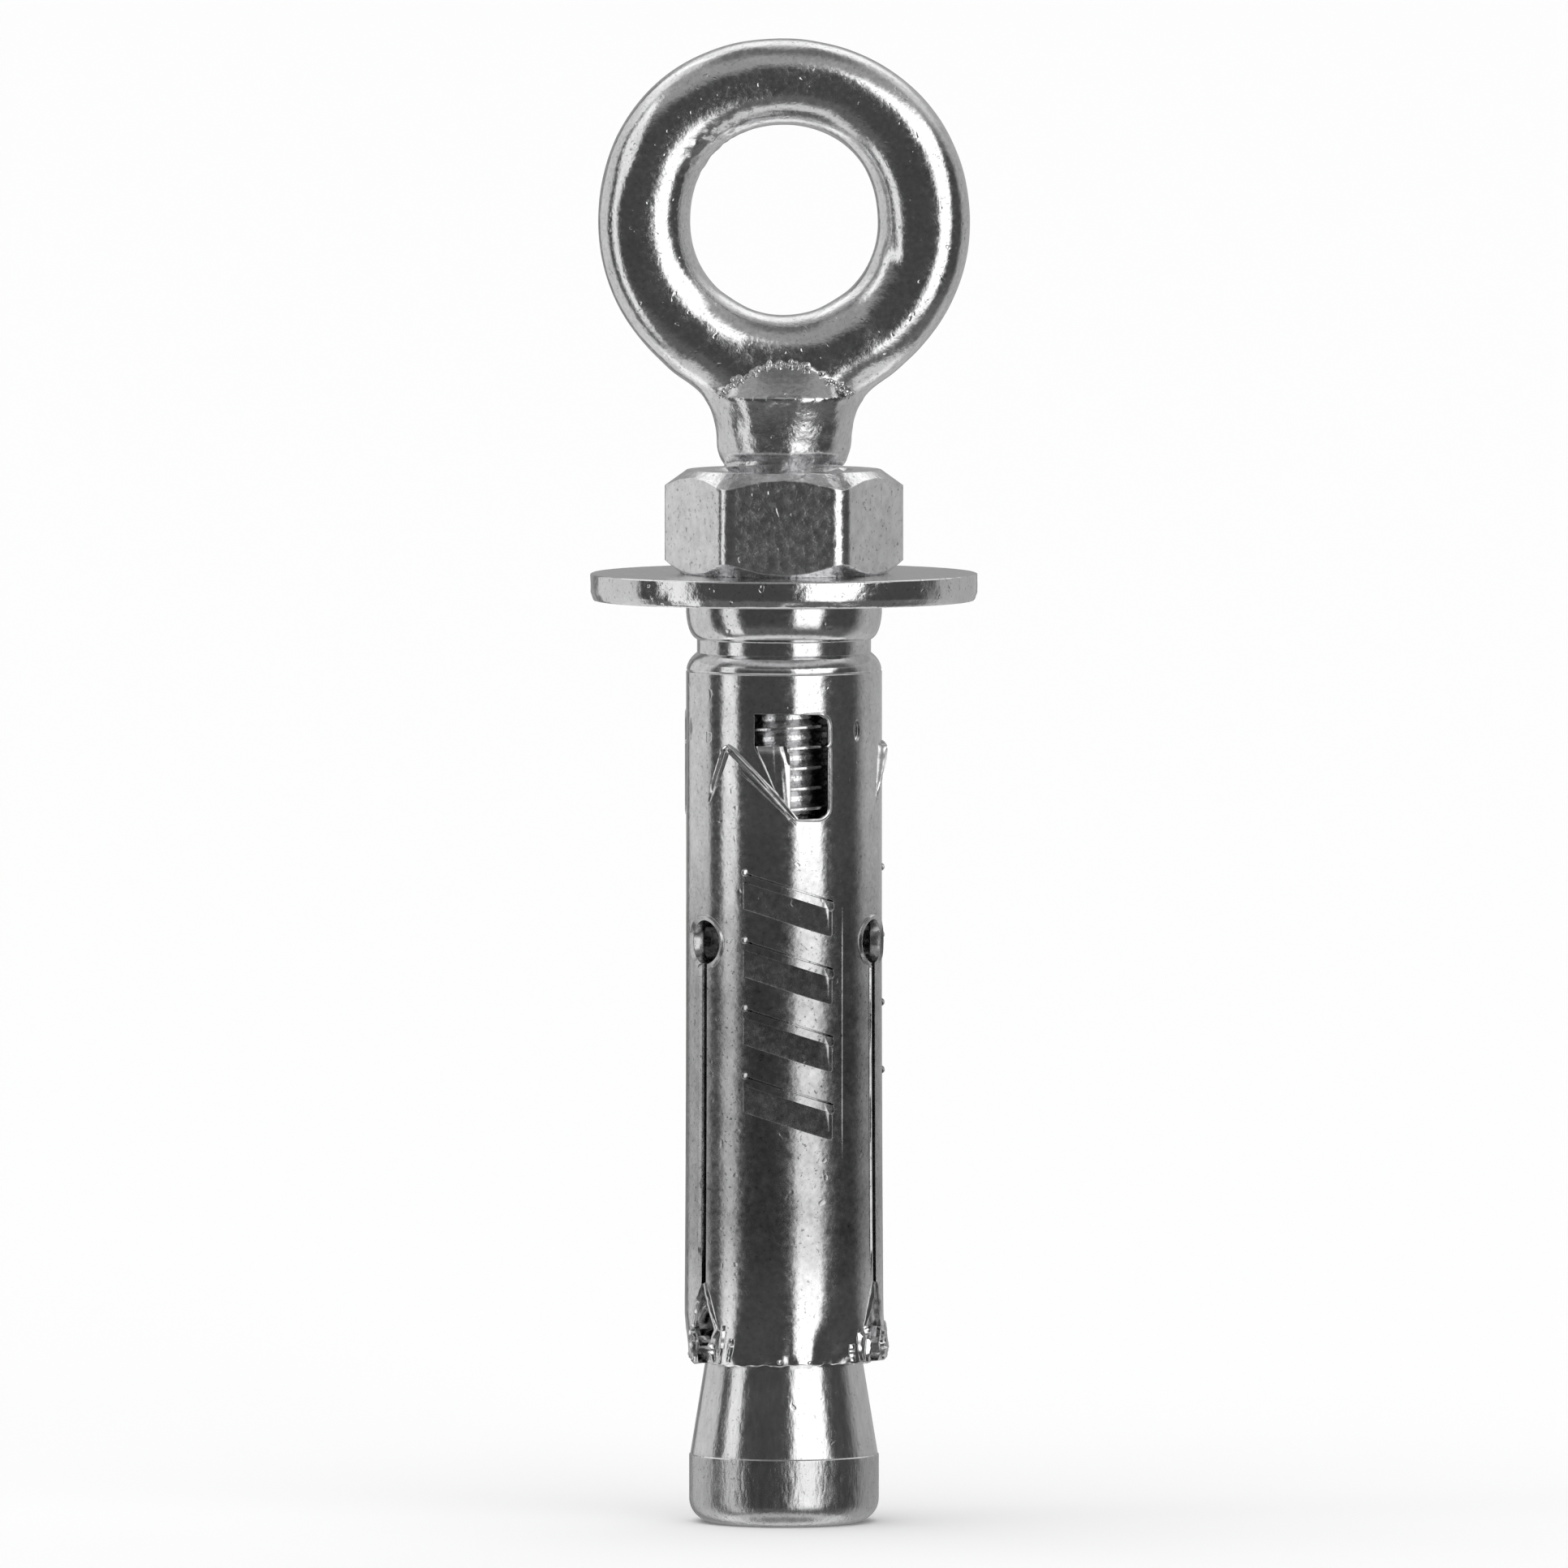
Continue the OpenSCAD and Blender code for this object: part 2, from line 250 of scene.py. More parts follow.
def zincFinish(name, look):
    material = bpy.data.materials.new(name)
    material.use_nodes = True
    sheet = NodeSheet(material.node_tree)
    place = sheet.add("TexCoord", None, None, "Object")
    mapped = sheet.add("Mapping", None, {"Vector": place, "Scale": (1000, 1000, 1000)})
    stretch = look.get("stretch", (1, 1, 1))
    drawn = sheet.add("Mapping", None, {"Vector": mapped, "Scale": stretch})

    def grain(vector, size, detail, rough=0.55):
        sockets = {"Vector": vector, "Scale": 1 / size, "Detail": detail, "Roughness": rough}
        return sheet.add("TexNoise", None, sockets)

    mottle = grain(drawn, look["mottleSize"], 4)
    cloud = grain(mapped, look["cloudSize"], 3)
    fine = grain(mapped, look["mottleSize"] * 0.3, 2)
    speck = grain(mapped, look["speckSize"], 2).rise(0.6, 0.72)
    pit = grain(mapped, look["pitSize"], 1, 0.4).rise(0.7, 0.78)
    tone = look["tone"] + (cloud - 0.5) * look["cloud"] + (mottle - 0.5) * look["mottle"]
    tone = tone - speck * look["speck"]
    rough = look["rough"] + (mottle - 0.5) * look["roughMottle"] + speck * 0.12
    rough = rough + (fine - 0.5) * look["grain"]
    relief = mottle * look["bump"] + cloud * look["waves"] * look["cloudSize"]
    relief = relief + fine * look["grain"] * 0.012 - pit * look["pit"]
    if "dull" in look:  # below a height the metal is duller, rougher and greyer
        height, soft, duller, rougher, bumpier = look["dull"]
        up = sheet.split(mapped)[2]
        dull = 1 - up.rise(height - soft, height + soft)
        if "bright" in look:  # and under a second height it is bright again
            dull = dull * up.rise(*look["bright"])
        tone = tone - dull * duller
        rough = rough + dull * rougher
        relief = relief + dull * mottle * bumpier
    rough = rough.most(0.06)
    colour = sheet.add("CombineColor", None, {0: tone, 1: tone, 2: tone * 1.008})
    edge = sheet.add("Bevel", {"samples": 6}, {"Radius": look["edge"] * mm})
    bump = sheet.add(
        "Bump", None, {"Strength": 1.0, "Distance": mm, "Height": relief, "Normal": edge}
    )
    zinc = sheet.add(
        "BsdfPrincipled",
        None,
        {"Base Color": colour, "Metallic": 1.0, "Roughness": rough, "Normal": bump},
    )
    sheet.add("OutputMaterial", None, {"Surface": zinc})
    return material


# Mesh helpers, in millimetres


def spin(turn):
    return Matrix.Rotation(math.radians(turn), 4, "Z")


def addPiece(name, points, faces, sharp=30):
    mesh = bpy.data.meshes.new(name)
    mesh.from_pydata([tuple(p) for p in points], [], [tuple(f) for f in faces])
    mesh.validate()
    piece = bpy.data.objects.new(name, mesh)
    bpy.context.scene.collection.objects.link(piece)
    finishShading(piece, sharp)
    return piece


def fromBmesh(name, bm):
    # the faces are sorted, because a new sphere has them in another order each time
    bm.verts.index_update()
    points = [vertex.co.copy() for vertex in bm.verts]
    faces = sorted([vertex.index for vertex in face.verts] for face in bm.faces)
    bm.free()
    return addPiece(name, points, faces)


def finishShading(piece, sharp):
    mesh = piece.data
    mesh.polygons.foreach_set("use_smooth", [True] * len(mesh.polygons))
    mesh.set_sharp_from_angle(angle=math.radians(sharp))
    mesh.update()


def applyModifiers(piece):
    depsgraph = bpy.context.evaluated_depsgraph_get()
    mesh = bpy.data.meshes.new_from_object(piece.evaluated_get(depsgraph))
    old = piece.data
    piece.modifiers.clear()
    piece.data = mesh
    mesh.name = piece.name
    bpy.data.meshes.remove(old)


def carve(piece, cutters):
    cutter = joined("cutter", cutters)
    modifier = piece.modifiers.new("carve", "BOOLEAN")
    modifier.operation = "DIFFERENCE"
    modifier.object = cutter
    modifier.solver = "EXACT"
    applyModifiers(piece)
    spare = cutter.data
    bpy.data.objects.remove(cutter)
    bpy.data.meshes.remove(spare)


def joined(name, pieces):
    points, faces = [], []
    for piece in pieces:
        start = len(points)
        points += [piece.matrix_world @ v.co for v in piece.data.vertices]
        faces += [[start + i for i in f.vertices] for f in piece.data.polygons]
        spare = piece.data
        bpy.data.objects.remove(piece)
        bpy.data.meshes.remove(spare)
    return addPiece(name, points, faces)


def ringFaces(rows, columns, closedRows=False):
    faces = []
    for i in range(rows if closedRows else rows - 1):
        nextRow = (i + 1) % rows
        for j in range(columns):
            k = (j + 1) % columns
            faces.append(
                (i * columns + j, i * columns + k, nextRow * columns + k, nextRow * columns + j)
            )
    return faces


def turned(name, profile, steps, closed=True):
    # profile runs round the section as (radius, height), seen with the axis on the left
    angles = [2 * math.pi * j / steps for j in range(steps)]
    points = [(r * math.cos(a), r * math.sin(a), z) for r, z in profile for a in angles]
    return addPiece(name, points, ringFaces(len(profile), steps, closed))


def prism(name, outline, near, far, turn=0.0):
    # outline is (x, height) seen from the front, pushed from y = -near to y = -far
    count = len(outline)
    points = [(x, -near, z) for x, z in outline] + [(x, -far, z) for x, z in outline]
    faces = [list(range(count - 1, -1, -1)), list(range(count, 2 * count))]
    faces += [
        (i, (i + 1) % count, count + (i + 1) % count, count + i) for i in range(count)
    ]
    piece = addPiece(name, points, faces)
    faceOut(piece)
    piece.data.transform(spin(turn))
    return piece


def faceOut(piece):
    bm = bmesh.new()
    bm.from_mesh(piece.data)
    bmesh.ops.recalc_face_normals(bm, faces=bm.faces)
    bm.to_mesh(piece.data)
    bm.free()


def arc(centre, radius, start, end, steps):
    return [
        (
            centre[0] + radius * math.cos(math.radians(start + (end - start) * i / steps)),
            centre[1] + radius * math.sin(math.radians(start + (end - start) * i / steps)),
        )
        for i in range(steps + 1)
    ]


def pulled(a, b, c, steps):
    # a quadratic curve from a to c that b pulls on
    points = []
    for i in range(steps + 1):
        t = i / steps
        points.append(
            tuple((1 - t) ** 2 * a[k] + 2 * t * (1 - t) * b[k] + t * t * c[k] for k in (0, 1))
        )
    return points


def spaced(a, b, steps):
    return [
        (a[0] + (b[0] - a[0]) * i / steps, a[1] + (b[1] - a[1]) * i / steps)
        for i in range(1, steps)
    ]


def seat(piece, body, node, material):
    piece.data.transform(Matrix.Scale(mm, 4))
    piece.data.materials.clear()
    piece.data.materials.append(material)
    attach(piece, body)
    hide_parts(node)
    print("made", piece.name, len(piece.data.polygons), "faces")


# Heights that all the pieces share

sleeveFoot = 9.9
washerFoot = 56.6
nutFoot = 58.25
nutTop = 64.6
fingerTurn = 6

# Washer

washerSet = {
    "outer": 11.9,
    "hole": 4.25,
    "thick": 1.65,
    "roll": (0.14, 0.12),
    "tear": (0.16, 0.5),
    "wave": 0.008,
    "waveTurns": 1.3,
    "look": {
        "tone": 0.79, "cloud": 0.16, "mottle": 0.2, "speck": 0.3, "rough": 0.12,
        "roughMottle": 0.18, "bump": 0.013, "waves": 0.012, "edge": 0.05,
        "mottleSize": 0.28, "pit": 0.02, "pitSize": 0.5, "grain": 0.12,
        "cloudSize": 2.2, "speckSize": 0.2,
    },
}


def makeWasher():
    outer, hole, thick = washerSet["outer"], washerSet["hole"], washerSet["thick"]
    rollIn, rollDown = washerSet["roll"]
    tearIn, tearUp = washerSet["tear"]
    low = washerFoot
    top = washerFoot + thick
    profile = [(hole + 0.02, low), *spaced((hole, low), (outer, low), 6)]
    profile += [(outer - tearIn - 0.05, low), (outer - tearIn, low + 0.05)]
    profile += spaced((outer - tearIn, low + 0.05), (outer, low + tearUp), 4)
    profile += [(outer, low + tearUp)]
    profile += spaced((outer, low + tearUp), (outer, top - rollDown), 3)
    for r, z in arc((0, 0), 1, 0, 90, 10):
        profile.append((outer - rollIn + rollIn * r, top - rollDown + rollDown * z))
    profile += spaced((outer - rollIn, top), (hole + 0.2, top), 8)
    profile += arc((hole + 0.2, top - 0.2), 0.2, 90, 180, 5)
    piece = turned("washer", profile, 240)
    for vertex in piece.data.vertices:  # the punch leaves the rim a little wavy
        point = vertex.co
        if point.xy.length > outer - 0.5:
            wave = noise.noise(Vector((point.x, point.y, point.z * 1.5)) * washerSet["waveTurns"])
            point.xy *= 1 - washerSet["wave"] * (0.5 + 0.5 * wave)
    finishShading(piece, 30)
    seat(piece, "sleeve_set", "washer", zincFinish("washerZinc", washerSet["look"]))


makeWasher()

# Nut

nutSet = {
    "flats": 13.0,
    "corner": 1.3,
    "chamfers": ((0.95, 0.85), (1.35, 0.72)),
    "bore": 3.6,
    "mouth": 0.75,
    "look": {
        "tone": 0.81, "cloud": 0.34, "mottle": 0.5, "speck": 0.38, "rough": 0.19,
        "roughMottle": 0.2, "bump": 0.034, "waves": 0.008, "edge": 0.1,
        "mottleSize": 0.55, "pit": 0.01, "pitSize": 0.6, "grain": 0.06,
        "cloudSize": 1.6, "speckSize": 0.28,
    },
}


def makeNut():
    half, corner = nutSet["flats"] / 2, nutSet["corner"]
    reach = (half - corner) / math.cos(math.radians(30))
    tangent = 30 - math.degrees(math.atan2((half - corner) * math.tan(math.radians(30)), half))
    flat = 30 - tangent
    offsets = [-flat, -flat * 0.98, -flat * 0.5, 0, flat * 0.5, flat * 0.98, flat]
    offsets += [flat + 2 * tangent * i / 10 for i in range(1, 10)]
    angles, radii = [], []
    for side in range(6):
        for offset in offsets:
            if offset <= flat:
                radius = half / math.cos(math.radians(offset))
            else:
                g = math.radians(offset - 30)
                radius = reach * math.cos(g) + math.sqrt(corner**2 - (reach * math.sin(g)) ** 2)
            angles.append(math.radians(side * 60 - 90 + offset))
            radii.append(radius)
    bore, mouth = nutSet["bore"], nutSet["mouth"]
    rows = []
    for end, (chamfer, slope) in enumerate(nutSet["chamfers"]):
        face = reach + corner - chamfer
        level = nutTop if end else nutFoot
        inward = -1 if end else 1
        rings = []
        for share in (0, 0.5, 1):
            rings.append([(bore + mouth * share, level + inward * mouth * (1 - share))] * len(radii))
        for share in (0.35, 0.7, 0.97, 1):
            r = bore + mouth + (face - bore - mouth) * share
            rings.append([(r, level)] * len(radii))
        for share in (0.04, 0.3, 0.6, 0.96, 1):
            rings.append(
                [
                    (face + (r - face) * share, level + inward * (r - face) * share * slope)
                    for r in radii
                ]
            )
        rows += rings[::-1] if end else rings
    middle = []
    for share in (0.04, 0.35, 0.65, 0.96):
        ring = []
        for (r, low), (_, high) in zip(rows[11], rows[12]):
            ring.append((r, low + (high - low) * share))
        middle.append(ring)
    rows = rows[:12] + middle + rows[12:]
    points = [
        (r * math.cos(a), r * math.sin(a), z) for row in rows for (r, z), a in zip(row, angles)
    ]
    piece = addPiece("hexNut", points, ringFaces(len(rows), len(angles), True), 24)
    piece.modifiers.new("weighted", "WEIGHTED_NORMAL").keep_sharp = True
    applyModifiers(piece)
    seat(piece, "nut", "hex_nut", zincFinish("nutZinc", nutSet["look"]))


makeNut()

# Cone

coneSet = {
    "foot": 5.82,
    "band": 4.2,
    "edge": 5.75,
    "tip": 4.25,
    "height": 13.6,
    "round": 1.45,
    "bore": 3.65,
    "lug": 0.45,
    "lugOut": 4.86,
    "lugHeight": 13.0,
    "look": {
        "tone": 0.76, "cloud": 0.22, "mottle": 0.32, "speck": 0.18, "rough": 0.15,
        "roughMottle": 0.16, "bump": 0.011, "waves": 0.006, "edge": 0.05,
        "mottleSize": 0.3, "pit": 0.006, "pitSize": 0.7, "grain": 0.08,
        "cloudSize": 2.0, "speckSize": 0.22, "stretch": (1, 1, 0.35),
        "dull": (4.2, 0.25, 0.18, 0.1, 0.02),
    },
}


def makeCone():
    foot, band, edge = coneSet["foot"], coneSet["band"], coneSet["edge"]
    tip, height, bend = coneSet["tip"], coneSet["height"], coneSet["round"]
    bore = coneSet["bore"]
    profile = [(bore, 0.4), (bore + 0.4, 0), *spaced((bore + 0.4, 0), (foot - bend, 0), 3)]
    profile += arc((foot - bend, bend), bend, -90, 0, 14)
    profile += spaced((foot, bend), (foot, band - 0.06), 14)
    profile += [(foot, band - 0.06), (edge, band)]
    profile += spaced((edge, band), (tip, height - 0.2), 10)
    profile += [(tip, height - 0.2), (tip - 0.2, height), (bore, height)]
    piece = turned("coneNut", profile, 240)
    parts = [piece]
    for k in range(3):
        parts.append(makeLug(fingerTurn - 60 + 120 * k))
    piece = joined("coneNut", parts)
    seat(piece, "bolt_set", "cone_nut", zincFinish("coneZinc", coneSet["look"]))


def makeLug(turn):
    # a round-headed lug, standing in the notch of a slit
    bm = bmesh.new()
    bmesh.ops.create_uvsphere(bm, u_segments=24, v_segments=16, radius=coneSet["lug"])
    for vertex in bm.verts:
        vertex.co.y *= 1.2
        if vertex.co.z < 0:  # the lower half is drawn down into the taper
            vertex.co.z *= 1.2
            vertex.co.z -= 1.0
            vertex.co.y += 0.12
        vertex.co += Vector((0, -coneSet["lugOut"], coneSet["lugHeight"]))
    bm.transform(spin(turn))
    return fromBmesh("lug", bm)


makeCone()

# Eye bolt

eyeSet = {
    "centre": 79.8,
    "ring": 8.56,
    "rod": 2.83,
    "topRod": 2.66,
    "square": 0.018,
    "flatness": 2.4,
    "lean": 0.2,
    "hollow": 4.7,
    "arm": 2.71,
    "neckFoot": 3.83,
    "neckRim": 4.48,
    "neckRimRise": 4.5,
    "dome": 3.5,
    "grid": 0.2,
    "blend": 0.16,
    "crease": 0.04,
    "beads": 190,
    "beadSize": (0.1, 0.21),
    "skew": 0.13,
    "dents": (0.02, 0.5),
    "neckDents": ((0.05, 0.9), (0.02, 2.2)),
    "patch": {"turn": 2.3, "spread": 0.35, "reach": 7.4, "deep": 0.09, "fine": 2.6},
    "thread": {
        "pitch": 1.25, "crest": 3.97, "root": 3.28, "foot": 1.1, "top": 65.5, "steps": 64,
    },
    "flats": [(6.6, 77.9, 15, 0.6, 1.6, 0.12), (-9.65, 84.1, -26, 0.75, 2.4, 0.17)],
    "look": {
        "tone": 0.77, "cloud": 0.28, "mottle": 0.4, "speck": 0.24, "rough": 0.16,
        "roughMottle": 0.26, "bump": 0.014, "waves": 0.016, "edge": 0.06,
        "dull": (68.6, 0.7, 0.0, 0.04, 0.012),
        "mottleSize": 0.3, "pit": 0.015, "pitSize": 0.5, "grain": 0.1,
        "cloudSize": 2.2, "speckSize": 0.22,
    },
}


def smoothUnion(a, b, soft):
    h = np.maximum(soft - np.abs(a - b), 0) / soft
    return np.minimum(a, b) - h * h * soft / 4


def polygonField(radius, height, corners):
    # signed distance to a closed outline in (radius, height), negative inside
    best = np.full(radius.shape, 1e9)
    inside = np.zeros(radius.shape, bool)
    count = len(corners)
    for i in range(count):
        ax, az = corners[i]
        bx, bz = corners[(i + 1) % count]
        dx, dz = bx - ax, bz - az
        t = np.clip(((radius - ax) * dx + (height - az) * dz) / (dx * dx + dz * dz), 0, 1)
        best = np.minimum(best, np.hypot(radius - ax - t * dx, height - az - t * dz))
        crosses = (az > height) != (bz > height)
        if dz != 0:
            inside ^= crosses & (radius < ax + (height - az) * dx / dz)
    return np.where(inside, -best, best)


def eyeParts(p):
    # the bent rod and the neck, as distances from their surfaces
    x, y, z = p[:, 0], p[:, 1], p[:, 2] - eyeSet["centre"]
    lift = np.clip(z / 11.4, 0, 1)
    x = x + eyeSet["lean"] * lift * lift
    around = np.arctan2(z, x)
    upper = np.clip((z + 7) / 7, 0, 1) ** 2
    centreLine = eyeSet["ring"] * (1 + eyeSet["square"] * np.sin(2 * around) ** 2 * upper)
    thin = np.clip(np.sin(around), 0, 1) ** 2
    rod = eyeSet["rod"] - (eyeSet["rod"] - eyeSet["topRod"]) * thin
    flat = eyeSet["flatness"]
    across = np.hypot(x, z) - centreLine
    right = np.clip(np.cos(around) * 0.8 + 0.2, 0, 1)
    deep = y + eyeSet["skew"] * across * right  # the dies left the ring a little askew on this side
    ring = ((np.abs(across) + 1e-6) ** flat + (np.abs(deep) + 1e-6) ** flat) ** (1 / flat) - rod
    # two arms flow from the ring down into the neck
    arm, hollow = eyeSet["arm"], eyeSet["hollow"]
    middle = (eyeSet["neckFoot"] + eyeSet["neckRim"]) / 2
    hollowX = middle + hollow
    reach = eyeSet["ring"] + eyeSet["rod"] + hollow - 0.06
    drop = math.sqrt(reach**2 - hollowX**2)
    turn = math.atan2(drop, hollowX)
    side = np.abs(p[:, 0])
    angle = np.clip(np.arctan2(z + drop, hollowX - side), 0, turn)
    endX = hollowX - (hollow + arm) * np.cos(angle)
    endZ = -drop + (hollow + arm) * np.sin(angle)
    arms = np.sqrt((side - endX) ** 2 + (z - endZ) ** 2 + y * y) - arm
    # the neck with its rim and dome
    rimZ = nutTop + eyeSet["neckRimRise"]
    foot, rim = eyeSet["neckFoot"], eyeSet["neckRim"]
    outline = [(-1, nutTop + 0.2), (3.3, nutTop + 0.2), (foot - 0.25, nutTop + 0.75)]
    outline += pulled((foot, nutTop + 1.1), (foot + 0.05, nutTop + 2.8), (rim, rimZ), 10)
    domeTop = rimZ + eyeSet["dome"]
    outline += pulled((rim - 0.1, rimZ + 0.1), (rim - 1.3, rimZ + 1.9), (rim - 2.4, rimZ + 2.6), 8)
    outline += pulled((rim - 2.5, rimZ + 2.65), (1.0, domeTop), (0, domeTop), 4)
    outline += [(-1, domeTop)]
    across = (np.abs(p[:, 0]) ** flat + (np.abs(y) + 1e-6) ** flat) ** (1 / flat)
    low = np.clip((p[:, 2] - nutTop - 0.8) / 1.5, 0, 1)
    across = np.hypot(p[:, 0], y) * (1 - low) + across * low
    neck = polygonField(across, p[:, 2], outline)
    return smoothUnion(ring, arms, 0.5), neck


def eyeField(p):
    # the neck ends flat, just above the nut
    return np.maximum(smoothUnion(*eyeParts(p), eyeSet["blend"]), nutTop + 0.15 - p[:, 2])


def netSurface(field, low, high, step):
    # a surface net: one point in each cell that the surface crosses, then drawn onto it
    axes = [np.arange(low[k], high[k] + step, step) for k in range(3)]
    grid = np.stack(np.meshgrid(*axes, indexing="ij"), -1)
    values = field(grid.reshape(-1, 3)).reshape(grid.shape[:3])
    inside = values < 0
    shape = [n - 1 for n in inside.shape]
    total = np.zeros(shape, int)
    for i in (0, 1):
        for j in (0, 1):
            for k in (0, 1):
                total += inside[i:i + shape[0], j:j + shape[1], k:k + shape[2]]
    active = (total > 0) & (total < 8)
    index = np.full(shape, -1)
    index[active] = np.arange(active.sum())
    cells = np.argwhere(active)
    points = np.stack([axes[k][cells[:, k]] + step / 2 for k in range(3)], -1)
    faces = []
    for axis in range(3):
        others = [k for k in range(3) if k != axis]
        first = [slice(None)] * 3
        second = [slice(None)] * 3
        first[axis] = slice(0, -1)
        second[axis] = slice(1, None)
        change = inside[tuple(first)] != inside[tuple(second)]
        change[tuple(slice(0, 1) if k == others[0] else slice(None) for k in range(3))] = False
        change[tuple(slice(0, 1) if k == others[1] else slice(None) for k in range(3))] = False
        for k in others:
            last = [slice(None)] * 3
            last[k] = slice(-1, None)
            change[tuple(last)] = False
        where = np.argwhere(change)
        outward = inside[tuple(first)][tuple(where.T)]
        corners = []
        for a, b in ((-1, -1), (0, -1), (0, 0), (-1, 0)):
            cell = where.copy()
            cell[:, others[0]] += a
            cell[:, others[1]] += b
            corners.append(index[tuple(cell.T)])
        quads = np.stack(corners, -1)
        flip = ~outward if axis != 1 else outward
        quads[flip] = quads[flip][:, ::-1]
        faces.append(quads)
    faces = np.concatenate(faces)
    for _ in range(6):
        value, slope = fieldSlope(field, points)
        points -= slope * (value / np.maximum((slope**2).sum(1), 1e-6))[:, None] * 0.9
    return points, faces


def fieldSlope(field, points):
    value = field(points)
    slope = np.zeros_like(points)
    for k in range(3):
        step = np.zeros(3)
        step[k] = 0.01
        slope[:, k] = (field(points + step) - field(points - step)) / 0.02
    return value, slope


def makeEye():
    low = (-12.2, -5, nutTop - 0.3)
    high = (12.2, 5, 91.8)
    points, faces = netSurface(eyeField, low, high, eyeSet["grid"])
    slope = fieldSlope(eyeField, points)[1]
    slope /= np.linalg.norm(slope, axis=1)[:, None]
    rod, neck = eyeParts(points)
    rim = nutTop + eyeSet["neckRimRise"]
    crease = np.exp(-(((rod - neck) / 0.6) ** 2)) * np.clip(points[:, 2] - rim + 0.5, 0, 1)
    size, fine = eyeSet["dents"]
    patch = eyeSet["patch"]
    for i, point in enumerate(points):  # hammer marks, and a ridge where the forging closed
        spot = Vector(point)
        dent = size * noise.noise(spot * fine) - size / 2
        if nutTop + 0.6 < spot.z < rim - 0.2:
            for neckSize, neckFine in eyeSet["neckDents"]:
                dent += neckSize * noise.noise(spot * neckFine)
        if spot.y < 0:  # two spots on the front were struck flat
            for x, z, turn, across, along, deep in eyeSet["flats"]:
                c, s = math.cos(math.radians(turn)), math.sin(math.radians(turn))
                over = ((spot.x - x) * c + (spot.z - z) * s) / across
                up = ((spot.z - z) * c - (spot.x - x) * s) / along
                dent -= deep * math.exp(-over * over - up * up)
        # the scale left a rough patch inside the ring, up on its left
        rise = spot.z - eyeSet["centre"]
        away = (math.atan2(rise, spot.x) - patch["turn"]) / patch["spread"]
        inside = math.hypot(spot.x, rise) < patch["reach"]
        dent += patch["deep"] * math.exp(-(away**2)) * inside * noise.noise(spot * patch["fine"])
        lump = 0.5 + noise.noise(spot * 1.6)
        points[i] += slope[i] * (dent + eyeSet["crease"] * crease[i] * lump)
    onCrease = (np.abs(rod - neck) < 0.14) & (points[:, 2] > rim + 0.2)
    beads = makeBeads(points[onCrease], slope[onCrease])
    return joined("eye", [addPiece("ring", points, faces.tolist(), 60), beads])


def makeBeads(spots, outward):
    # small beads of scale along the line where the ring and the neck closed on each other
    chance = np.random.default_rng(8)
    bm = bmesh.new()
    bmesh.ops.create_icosphere(bm, subdivisions=2, radius=1)
    ball = np.array([v.co for v in bm.verts])
    ballFaces = np.array([[v.index for v in f.verts] for f in bm.faces])
    bm.free()
    points, faces = [], []
    for k, spot in enumerate(chance.integers(0, len(spots), eyeSet["beads"])):
        size = chance.uniform(*eyeSet["beadSize"])
        middle = spots[spot] + outward[spot] * size * chance.uniform(-0.5, 0.1)
        middle = middle + chance.normal(0, 0.08, 3)
        points.append(ball * size * chance.uniform(0.7, 1.2, 3) + middle)
        faces.append(ballFaces + k * len(ball))
    return addPiece("beads", np.concatenate(points), np.concatenate(faces).tolist(), 60)


def makeThread():
    thread = eyeSet["thread"]
    pitch, crest, root, steps = thread["pitch"], thread["crest"], thread["root"], thread["steps"]
    turns = int((thread["top"] - thread["foot"]) / pitch)
    section = [(root, 0.0), (root, 0.14), (crest, 0.53), (crest, 0.69), (root, 1.08)]
    points = []
    total = turns * steps
    for i in range(total + 1):
        angle = 2 * math.pi * i / steps
        height = thread["foot"] + pitch * i / steps
        fade = min(1, i / (steps * 0.8), (total - i) / (steps * 0.9))
        for radius, rise in section:
            z = height + rise
            r = root + (radius - root) * max(fade, 0.05)
            r = min(r, crest - 0.8 + max(0, z - thread["foot"]))
            points.append((r * math.cos(angle), r * math.sin(angle), z))
    count = len(section)
    faces = []
    for i in range(total):
        for k in range(count - 1):
            a = i * count + k
            faces.append((a, a + count, a + count + 1, a + 1))
        if i + steps < total:
            a = i * count + count - 1
            b = (i + steps) * count
            faces.append((a, a + count, b + count, b))
    faces.append([k * count for k in range(steps, -1, -1)])
    return addPiece("thread", points, faces, 30)


def makeEyeBolt():
    piece = joined("eyeBolt", [makeEye(), makeThread()])
    finishShading(piece, 38)
    seat(piece, "bolt_set", "eye_bolt", zincFinish("brightZinc", eyeSet["look"]))


makeEyeBolt()

# Sleeve

